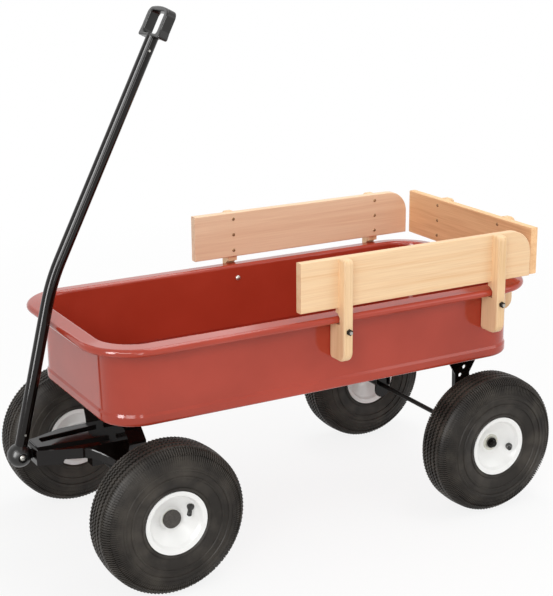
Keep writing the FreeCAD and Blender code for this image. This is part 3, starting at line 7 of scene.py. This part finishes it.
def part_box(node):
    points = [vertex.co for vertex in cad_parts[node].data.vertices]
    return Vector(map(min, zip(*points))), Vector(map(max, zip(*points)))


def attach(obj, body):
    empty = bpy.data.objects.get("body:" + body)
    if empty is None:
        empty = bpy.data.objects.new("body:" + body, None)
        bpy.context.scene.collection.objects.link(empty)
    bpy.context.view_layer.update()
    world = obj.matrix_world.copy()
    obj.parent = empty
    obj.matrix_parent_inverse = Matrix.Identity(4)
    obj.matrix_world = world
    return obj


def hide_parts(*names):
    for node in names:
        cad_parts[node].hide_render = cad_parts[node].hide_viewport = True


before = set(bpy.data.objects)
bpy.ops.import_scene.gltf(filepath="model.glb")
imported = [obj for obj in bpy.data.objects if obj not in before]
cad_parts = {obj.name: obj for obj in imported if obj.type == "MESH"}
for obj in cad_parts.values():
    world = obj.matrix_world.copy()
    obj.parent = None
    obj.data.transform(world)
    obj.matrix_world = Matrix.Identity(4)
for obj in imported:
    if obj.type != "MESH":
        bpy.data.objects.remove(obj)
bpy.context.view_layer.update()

# ---- Tray ----------------------------------------------------------------------------------------
# The tray is one deep drawing of mild steel, 1.6 mm thick, with a swaged bead at its foot and a
# rolled rim.  It is degreased, primed and sprayed in red gloss enamel, then baked: the colour is
# even and the surface is mirror smooth but for a faint orange peel.


def colour(hex_code):
    """An sRGB hex colour as the linear values that shaders take."""
    channels = [int(hex_code[i:i + 2], 16) / 255 for i in (1, 3, 5)]
    linear = [c / 12.92 if c <= 0.04045 else ((c + 0.055) / 1.055) ** 2.4 for c in channels]
    return (*linear, 1)


def add(material, kind, links=None, stops=(), **settings):
    """One shader node with its settings, a ramp's stops as (place, colour), and links given as
    input name: (node, output name)."""
    node = material.node_tree.nodes.new("ShaderNode" + kind)
    if stops:
        for element, (position, shade) in zip(node.color_ramp.elements, stops):
            element.position = position
            element.color = colour(shade)
    for name, value in settings.items():
        if hasattr(node, name):
            setattr(node, name, value)
        else:
            node.inputs[name.replace("_", " ")].default_value = value
    for name, (source, output) in (links or {}).items():
        material.node_tree.links.new(source.outputs[output], node.inputs[name])
    return node


def finish_of(name, base, roughness, **settings):
    """A material of one base colour, and the shader node that holds its finish."""
    material = bpy.data.materials.new(name)
    material.use_nodes = True
    shader = material.node_tree.nodes["Principled BSDF"]
    shader.inputs["Base Color"].default_value = colour(base)
    shader.inputs["Roughness"].default_value = roughness
    for key, value in settings.items():
        shader.inputs[key.replace("_", " ")].default_value = value
    return material, shader


def join(material, source, output, shader, name):
    """Links a node's output to one of the shader's inputs."""
    material.node_tree.links.new(source.outputs[output], shader.inputs[name])


def dress(material, *names):
    """Gives CAD pieces their finish."""
    for name in names:
        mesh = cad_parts[name].data
        mesh.materials.clear()
        mesh.materials.append(material)


# Baked enamel is smooth and hard, so it gives sharp reflections over a deep, even colour.
red_enamel, shader = finish_of("baked red enamel on steel", "#b0402c", 0.12,
                               Specular_IOR_Level=0.42)
place = add(red_enamel, "TexCoord")
# Orange peel of sprayed enamel: waves a few millimetres long and microns high.
peel = add(red_enamel, "TexNoise", {"Vector": (place, "Object")}, Scale=260, Detail=2)
skin = add(red_enamel, "Bump", {"Height": (peel, "Fac")}, Strength=0.05, Distance=0.0004)
join(red_enamel, skin, "Normal", shader, "Normal")
# A little unevenness in the film's thickness shows as slightly deeper patches of red.
film = add(red_enamel, "TexNoise", {"Vector": (place, "Object")}, Scale=7, Detail=3)
tone = add(red_enamel, "ValToRGB", {"Fac": (film, "Fac")}, [(0.35, "#a93b28"), (0.7, "#b5422f")])
join(red_enamel, tone, "Color", shader, "Base Color")
dress(red_enamel, "bed_tray")

# ---- Wooden sides --------------------------------------------------------------------------------
# Two side boards and a tail board of pale maple, 15.6 mm thick, planed with eased edges, sanded and
# given a thin satin lacquer.  The grain runs along each board and up each stake.


def wood(name, pale, dark, along, across, grain):
    """Maple under a thin satin lacquer, which leaves a soft sheen and the grain to be seen.  along
    is the grain's axis as an index, across the width of its figure in metres, and grain how
    strongly the fibres show."""
    material, shader = finish_of(name, pale, 0.5, Specular_IOR_Level=0.35)
    place = add(material, "TexCoord")
    # The figure of a flat-sawn face is 8 to 14 mm wide and thirty times as long.
    length_to_width = 30
    stretch = [1 / across] * 3
    stretch[along] = 1 / (across * length_to_width)
    spread = add(material, "Mapping", {"Vector": (place, "Object")}, Scale=stretch)
    rings = add(material, "TexNoise", {"Vector": (spread, "Vector")},
                Scale=1.0, Detail=4, Roughness=0.5, Distortion=0.5)
    figure = add(material, "ValToRGB", {"Fac": (rings, "Fac")}, [(0.3, dark), (0.55, pale)])
    # Pores and fibres show as fine lines, drawn about three times their real width.
    fibre_width, fibre_length = 0.0016, 0.09
    fine = [1 / fibre_width] * 3
    fine[along] = 1 / fibre_length
    dashes = add(material, "Mapping", {"Vector": (place, "Object")}, Scale=fine)
    fibres = add(material, "TexNoise", {"Vector": (dashes, "Vector")}, Scale=1.0, Detail=2)
    streak = add(material, "ValToRGB", {"Fac": (fibres, "Fac")},
                 [(0.25, "#c9a079"), (0.6, "#ffffff")])
    mix = add(material, "Mix", data_type="RGBA", blend_type="MULTIPLY")
    mix.inputs["Factor"].default_value = grain
    material.node_tree.links.new(figure.outputs["Color"], mix.inputs["A"])
    material.node_tree.links.new(streak.outputs["Color"], mix.inputs["B"])
    join(material, mix, "Result", shader, "Base Color")
    relief = add(material, "Bump", {"Height": (fibres, "Fac")}, Strength=0.1, Distance=0.0003)
    join(material, relief, "Normal", shader, "Normal")
    return material


near_maple = wood("lacquered maple, left board", "#f5d3a9", "#efc698", 0, 0.012, 0.2)
dress(near_maple, "side_board_left")
far_maple = wood("lacquered maple, right board", "#f9d8b6", "#f0c9a6", 0, 0.014, 0.15)
dress(far_maple, "side_board_right")
stake_maple = wood("lacquered maple, stakes", "#f5d3a8", "#eac393", 2, 0.008, 0.2)
dress(stake_maple, "stake_left_front", "stake_left_rear", "stake_right_front", "stake_right_rear")
dress(stake_maple, "stake_tail_left", "stake_tail_right")
tail_maple = wood("lacquered maple, tail board", "#fccf9c", "#edbb88", 1, 0.012, 0.25)
dress(tail_maple, "tail_board")

# ---- Bolts, nuts and screws ----------------------------------------------------------------------
# Bolts and nuts are cold-headed steel, and the axles are drawn rod.  Most are zinc plated.  The
# nuts on the stakes, the rear push nuts and both axles are black oxide.

# Clear-passivated zinc is a bright grey metal whose highlights are broken up by its plating.
zinc_plate, shader = finish_of("zinc-plated steel", "#b4b2ab", 0.38, Metallic=1.0)
place = add(zinc_plate, "TexCoord")
# Spangle of the plating, a millimetre or two across, as slight changes in gloss.
spangle = add(zinc_plate, "TexNoise", {"Vector": (place, "Object")}, Scale=700, Detail=2)
gloss = add(zinc_plate, "MapRange", {"Value": (spangle, "Fac")}, To_Min=0.3, To_Max=0.48)
join(zinc_plate, gloss, "Result", shader, "Roughness")
dress(zinc_plate, "stake_bolts", "bolster_bolts", "bolster_nuts", "bracket_bolts",
      "bracket_nuts", "king_pin_bolt", "king_pin_nut", "rub_washer",
      "front_washers", "rear_washers", "front_push_nuts", "pivot_bolt", "pivot_nut",
      "clevis_pin", "grip_pin", "handle_clevis")

# Black oxide is thin and porous, so the steel looks nearly black with a dull, mottled sheen.
black_oxide, shader = finish_of("black oxide steel", "#2a2826", 0.45, Metallic=0.9)
place = add(black_oxide, "TexCoord")
mottle = add(black_oxide, "TexNoise", {"Vector": (place, "Object")}, Scale=500, Detail=2)
gloss = add(black_oxide, "MapRange", {"Value": (mottle, "Fac")}, To_Min=0.38, To_Max=0.55)
join(black_oxide, gloss, "Result", shader, "Roughness")
dress(black_oxide, "stake_nuts", "rear_push_nuts", "front_axle", "rear_axle")

# The boards' pan-head screws are antiqued brass: mid brown, worn a little brighter on the crown.
bronze, shader = finish_of("antiqued brass screws", "#8d6c4c", 0.45, Metallic=0.6)
place = add(bronze, "TexCoord")
wear = add(bronze, "TexNoise", {"Vector": (place, "Object")}, Scale=600, Detail=3)
tone = add(bronze, "ValToRGB", {"Fac": (wear, "Fac")}, [(0.35, "#75583c"), (0.7, "#a5825c")])
join(bronze, tone, "Color", shader, "Base Color")
dress(bronze, "board_screws")

# ---- Steering gear and rear brackets -------------------------------------------------------------
# Bolster, axle beam, yoke, brackets and the handle's tube are pressed and bent mild steel, welded
# and dipped in black gloss enamel.  The thick film rounds over edges and mirrors the room.

black_enamel, shader = finish_of("dipped black enamel on steel", "#0e0806", 0.1,
                                 Specular_IOR_Level=0.3)
place = add(black_enamel, "TexCoord")
# Dipped film flows before it dries, in swells about 3 cm long that bend reflections slightly.
runs = add(black_enamel, "TexNoise", {"Vector": (place, "Object")}, Scale=35, Detail=1)
skin = add(black_enamel, "Bump", {"Height": (runs, "Fac")}, Strength=0.03, Distance=0.0006)
join(black_enamel, skin, "Normal", shader, "Normal")
dress(black_enamel, "front_bolster", "rear_bracket_left", "rear_bracket_right", "axle_beam", "yoke",
      "ball_tongue", "handle_tube", "front_spacers", "rear_spacers")

# ---- Ball joint and grip -------------------------------------------------------------------------
# Injection-moulded black polypropylene, spark-eroded in the mould to a fine satin texture that
# spreads every highlight a little.

black_plastic, shader = finish_of("moulded black polypropylene", "#110f0d", 0.3, IOR=1.49)
place = add(black_plastic, "TexCoord")
# The eroded texture is about 0.1 mm; it is drawn at 0.5 mm so that it shows at all.
grit = add(black_plastic, "TexNoise", {"Vector": (place, "Object")}, Scale=2000, Detail=2)
skin = add(black_plastic, "Bump", {"Height": (grit, "Fac")}, Strength=0.08, Distance=0.0002)
join(black_plastic, skin, "Normal", shader, "Normal")
wheel_names = ["front_left", "front_right", "rear_left", "rear_right"]
dress(black_plastic, "ball_half_left", "ball_half_right", "loop_grip",
      *["valve_" + name for name in wheel_names])

# The axle's caps are a softer vinyl, grey-brown and lighter than the other black parts, in patches
# of slightly different tone.
vinyl, shader = finish_of("grey-brown vinyl", "#3a3632", 0.6, IOR=1.5)
place = add(vinyl, "TexCoord")
vinyl_patches = add(vinyl, "TexNoise", {"Vector": (place, "Object")}, Scale=300, Detail=3)
tone = add(vinyl, "ValToRGB", {"Fac": (vinyl_patches, "Fac")}, [(0.35, "#322e2a"), (0.7, "#48433e")])
join(vinyl, tone, "Color", shader, "Base Color")
dress(vinyl, "front_caps")

# ---- Wheel centres -------------------------------------------------------------------------------
# One-piece white mouldings with a concave dish each side, and a hub with two flanged nylon bushes
# pressed into it.

# Polished mould faces give the white plastic a soft gloss that varies with the melt's flow.
white_plastic, shader = finish_of("moulded white plastic", "#f3f3f1", 0.3, IOR=1.5)
place = add(white_plastic, "TexCoord")
flow = add(white_plastic, "TexNoise", {"Vector": (place, "Object")}, Scale=40, Detail=2)
gloss = add(white_plastic, "MapRange", {"Value": (flow, "Fac")}, To_Min=0.25, To_Max=0.36)
join(white_plastic, gloss, "Result", shader, "Roughness")
dress(white_plastic, *["rim_" + name for name in wheel_names])

# Natural nylon is milky and a little translucent, so it looks creamy beside the white.
nylon, shader = finish_of("natural nylon", "#d9d5c8", 0.5, IOR=1.53, Subsurface_Weight=0.1)
place = add(nylon, "TexCoord")
cloud = add(nylon, "TexNoise", {"Vector": (place, "Object")}, Scale=120, Detail=2)
tone = add(nylon, "ValToRGB", {"Fac": (cloud, "Fac")}, [(0.3, "#d2cdbf"), (0.7, "#dfdbcf")])
join(nylon, tone, "Color", shader, "Base Color")
dress(nylon, *["hub_bushes_" + name for name in wheel_names])

# ---- Tyres ---------------------------------------------------------------------------------------
# Pneumatic tyres, moulded from carbon-black rubber over cord.  The tread has zigzag grooves between
# its ribs and short lugs on its shoulders; the sidewall has fine radial ribs and raised rings.

# Carbon-black rubber is matt and very dark, and takes on a brownish bloom.
rubber, shader = finish_of("moulded tyre rubber", "#322d28", 0.5, IOR=1.52,
                           Specular_IOR_Level=0.22)
place = add(rubber, "TexCoord")
# Dust and bloom lie on the rubber in patches a few centimetres across.
bloom = add(rubber, "TexNoise", {"Vector": (place, "Object")}, Scale=24, Detail=6)
tone = add(rubber, "ValToRGB", {"Fac": (bloom, "Fac")}, [(0.38, "#25211d"), (0.68, "#423d37")])
join(rubber, tone, "Color", shader, "Base Color")
# The mould leaves fine pits, drawn about a millimetre across so that they show.
pits = add(rubber, "TexNoise", {"Vector": (place, "Object")}, Scale=900, Detail=2)
skin = add(rubber, "Bump", {"Height": (pits, "Fac")}, Strength=0.12, Distance=0.0003)
join(rubber, skin, "Normal", shader, "Normal")

# Outer skin on one side, as (radius, distance from the middle plane) in millimetres, bead to crown.
sidewall = [(51, 34.2), (57.3, 34.9), (58.6, 37.2), (61, 38.9), (63.5, 39.1), (64.4, 37.8),
            (68, 39.2), (74, 40.8), (80, 41.9), (82.2, 42.1), (83, 43.9), (85.4, 43.9),
            (86.2, 42.1), (91, 42.2), (95, 41.8), (96, 43.6), (98.4, 43.3), (99.2, 41.4),
            (103, 40.8)]
shoulder = [(108, 39.6), (112, 38.2), (116, 36.4), (120, 34.2), (123, 32.2), (126, 29.6),
            (128.6, 26.6), (129.6, 23.6)]
tread = [(133.2, 22.8), (133.8, 17.4), (129.8, 16.8), (130, 12.8), (134.1, 12.2), (134.7, 7),
         (130.7, 6.4), (130.8, 2.6), (134.9, 2)]
cavity = [(124, 14), (116, 32), (90, 36.5), (64, 31), (51, 27)]
half = sidewall + shoulder + tread
outline = half + [(radius, -out) for radius, out in reversed(half)]
outline += [(radius, -out) for radius, out in reversed(cavity)] + cavity
columns = 360
tread_floor = 0.1295  # all the tread's points lie further out than this radius
tread_half = 0.0232
shoulder_half = 0.0236
zigzag = 0.0018
# Shoulder lugs as (inner radius, outer radius, height), the tallest next to the tread.
lugs = ((0.1035, 0.1135, 0.0007), (0.1135, 0.1222, 0.0014), (0.1222, 0.1305, 0.002))


def edit(piece):
    """Opens one piece in edit mode, for its vertices, with nothing selected."""
    bpy.ops.object.select_all(action="DESELECT")
    bpy.context.view_layer.objects.active = piece
    piece.select_set(True)
    bpy.ops.object.mode_set(mode="EDIT")
    bpy.ops.mesh.select_mode(type="VERT")
    bpy.ops.mesh.select_all(action="DESELECT")


def pick(piece, items, wanted):
    """Selects the vertices or faces that pass a test, ready for an operator in edit mode."""
    bpy.ops.mesh.select_all(action="DESELECT")
    bpy.ops.object.mode_set(mode="OBJECT")
    for item in getattr(piece.data, items):
        item.select = wanted(item)
    bpy.ops.object.mode_set(mode="EDIT")


def lathe(name, points, steps):
    """A ring about the Y axis: one vertex is extruded along an outline in millimetres, the outline
    is closed, and it is spun in equal steps."""
    bpy.ops.object.select_all(action="DESELECT")
    bpy.ops.mesh.primitive_plane_add(size=0.002)
    piece = bpy.context.object
    piece.name = name
    bpy.ops.object.mode_set(mode="EDIT")
    bpy.ops.mesh.select_all(action="SELECT")
    bpy.ops.mesh.merge(type="CENTER")
    bpy.ops.transform.translate(value=(points[0][0] / 1000, points[0][1] / 1000, 0))
    for (r0, y0), (r1, y1) in zip(points, points[1:]):
        step = ((r1 - r0) / 1000, (y1 - y0) / 1000, 0)
        bpy.ops.mesh.extrude_vertices_move(TRANSFORM_OT_translate={"value": step})
    last = len(points) - 1
    bpy.ops.mesh.select_mode(type="VERT")
    pick(piece, "vertices", lambda vertex: vertex.index in (0, last))
    bpy.ops.mesh.edge_face_add()
    bpy.ops.mesh.select_all(action="SELECT")
    bpy.ops.mesh.spin(steps=steps, angle=2 * pi, center=(0, 0, 0), axis=(0, 1, 0))
    bpy.ops.mesh.select_all(action="SELECT")
    bpy.ops.mesh.remove_doubles(threshold=0.00002)
    bpy.ops.mesh.normals_make_consistent(inside=False)
    bpy.ops.object.mode_set(mode="OBJECT")
    return piece


def column(point):
    """Which of the tyre's columns a point lies on, counted round the axle."""
    return round(degrees(atan2(point.z, point.x)) * columns / 360) % columns


tyre = lathe("tyre", outline, columns)
edit(tyre)
# Zigzag grooves: of every three columns of groove edges one goes out, one goes in and one stays.
for remainder, shift in ((0, zigzag), (1, -zigzag)):
    pick(tyre, "vertices", lambda vertex: (
        column(vertex.co) % 3 == remainder
        and vertex.co.x ** 2 + vertex.co.z ** 2 > tread_floor ** 2
        and abs(vertex.co.y) < tread_half))
    bpy.ops.transform.translate(value=(0, shift, 0))
# The lugs stand on every second column of faces, and get lower down the sidewall.
bpy.ops.mesh.select_mode(type="FACE")
for inner, outer, height in lugs:
    pick(tyre, "polygons", lambda face: (
        int(degrees(atan2(face.center.z, face.center.x)) * columns / 360 + columns) % 2 == 0
        and inner < (face.center.x ** 2 + face.center.z ** 2) ** 0.5 < outer
        and abs(face.center.y) > shoulder_half))
    bpy.ops.mesh.extrude_region_shrink_fatten(TRANSFORM_OT_shrink_fatten={"value": height})
bpy.ops.object.mode_set(mode="OBJECT")
bpy.ops.object.shade_smooth_by_angle(angle=radians(28))
tyre.data.materials.append(rubber)

for name in wheel_names:
    low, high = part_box("tyre_" + name)
    moulded = tyre.copy()
    moulded.data = tyre.data.copy()
    moulded.name = "moulded_tyre_" + name
    bpy.context.scene.collection.objects.link(moulded)
    moulded.data.transform(Matrix.Translation((low + high) / 2))
    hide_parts("tyre_" + name)
    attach(moulded, "wheel_" + name)
bpy.data.objects.remove(tyre)

# ---- Floor, lights and camera --------------------------------------------------------------------
# A white paper sweep.  A long soft box hangs overhead, a key box stands at the front left and a
# weak fill at the right.  Three cards only show in the gloss of the enamel, and light nothing.

bpy.ops.object.select_all(action="DESELECT")
bpy.ops.mesh.primitive_plane_add(size=40, location=(0, 0, 0))
floor = bpy.context.object
floor.name = "floor"
# Uncoated paper scatters all light; the camera and mirror-like surfaces see it lit from behind.
paper, shader = finish_of("white paper sweep", "#f4f4f3", 0.9)
rays = add(paper, "LightPath")
seen = add(paper, "Math", {0: (rays, "Is Camera Ray"), 1: (rays, "Is Glossy Ray")},
           operation="MAXIMUM")
glow = add(paper, "Emission", Color=(1, 1, 1, 1), Strength=1.0)
# The paper glows fully from 2.5 m out, and less near the object so that its shadow stays.
place = add(paper, "TexCoord")
away = add(paper, "VectorMath", {0: (place, "Object")}, operation="LENGTH")
rise = add(paper, "MapRange", {"Value": (away, "Value")},
           From_Min=0.6, From_Max=2.5, To_Min=0.85, To_Max=1.0)
share = add(paper, "Math", {0: (seen, "Value"), 1: (rise, "Result")}, operation="MULTIPLY")
blend = add(paper, "MixShader",
            {"Fac": (share, "Value"), 1: (shader, "BSDF"), 2: (glow, "Emission")})
join(paper, blend, "Shader", paper.node_tree.nodes["Material Output"], "Surface")
floor.data.materials.append(paper)

# The world lights the object at about half strength, and is pure white to the camera and in gloss.
world = bpy.data.worlds.new("studio")
bpy.context.scene.world = world
world.use_nodes = True
nodes, links = world.node_tree.nodes, world.node_tree.links
dim = nodes["Background"]
bright = nodes.new("ShaderNodeBackground")
for shine, strength in ((dim, 0.55), (bright, 1.0)):
    shine.inputs["Color"].default_value = (1, 1, 1, 1)
    shine.inputs["Strength"].default_value = strength
paths = nodes.new("ShaderNodeLightPath")
either = nodes.new("ShaderNodeMixShader")
direct = nodes.new("ShaderNodeMath")
direct.operation = "MAXIMUM"
links.new(paths.outputs["Is Camera Ray"], direct.inputs[0])
links.new(paths.outputs["Is Glossy Ray"], direct.inputs[1])
links.new(direct.outputs["Value"], either.inputs["Fac"])
links.new(dim.outputs["Background"], either.inputs[1])
links.new(bright.outputs["Background"], either.inputs[2])
links.new(either.outputs["Shader"], nodes["World Output"].inputs["Surface"])


def soft_box(name, place, aim, width, height, power, card=False):
    """A rectangular area lamp at a place, facing a point.  A card shows only in reflections."""
    bpy.ops.object.light_add(type="AREA", location=place)
    lamp = bpy.context.object
    lamp.name = name
    lamp.data.shape = "RECTANGLE"
    lamp.data.size = width
    lamp.data.size_y = height
    lamp.data.energy = power
    lamp.visible_diffuse = not card
    lamp.rotation_mode = "QUATERNION"
    lamp.rotation_quaternion = (Vector(aim) - Vector(place)).to_track_quat("-Z", "Y")


soft_box("left card", (-2.25, -0.92, 1.2), (-0.35, 0, 0.6), 0.7, 2.0, 75, card=True)
soft_box("front card", (-0.62, -2.6, 0.9), (-0.35, 0, 0.6), 0.3, 1.4, 8, card=True)
soft_box("back card", (-0.4, 2.7, 2.0), (-0.2, 0, 0.4), 4.0, 0.5, 6, card=True)
soft_box("overhead box", (0.6, 0, 2.6), (0, 0, 0.3), 2.8, 0.8, 28)
soft_box("key box", (-2.2, -2.4, 1.9), (0, 0, 0.35), 1.4, 1.4, 36)
soft_box("fill box", (2.4, -2.2, 1.4), (0.1, 0, 0.3), 1.6, 1.6, 14)

# A long lens, 1.2 m up, off the front left corner.
azimuth, elevation, roll = radians(-29.12), radians(16.23), radians(-0.45)
tray_low, tray_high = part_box("bed_tray")
tray_middle = (tray_low.x + tray_high.x) / 2
back = Vector((sin(azimuth) * cos(elevation), -cos(azimuth) * cos(elevation), sin(elevation)))
bpy.ops.object.camera_add(location=(tray_middle - 1.2546, -2.2337, 1.1577))
camera = bpy.context.object
camera.rotation_mode = "QUATERNION"
camera.rotation_quaternion = (-back).to_track_quat("-Z", "Y")
camera.rotation_quaternion.rotate(Matrix.Rotation(roll, 3, back).to_quaternion())
camera.data.sensor_width = 36
camera.data.lens = 84.89
bpy.context.scene.camera = camera
bpy.context.scene.view_settings.view_transform = "Standard"
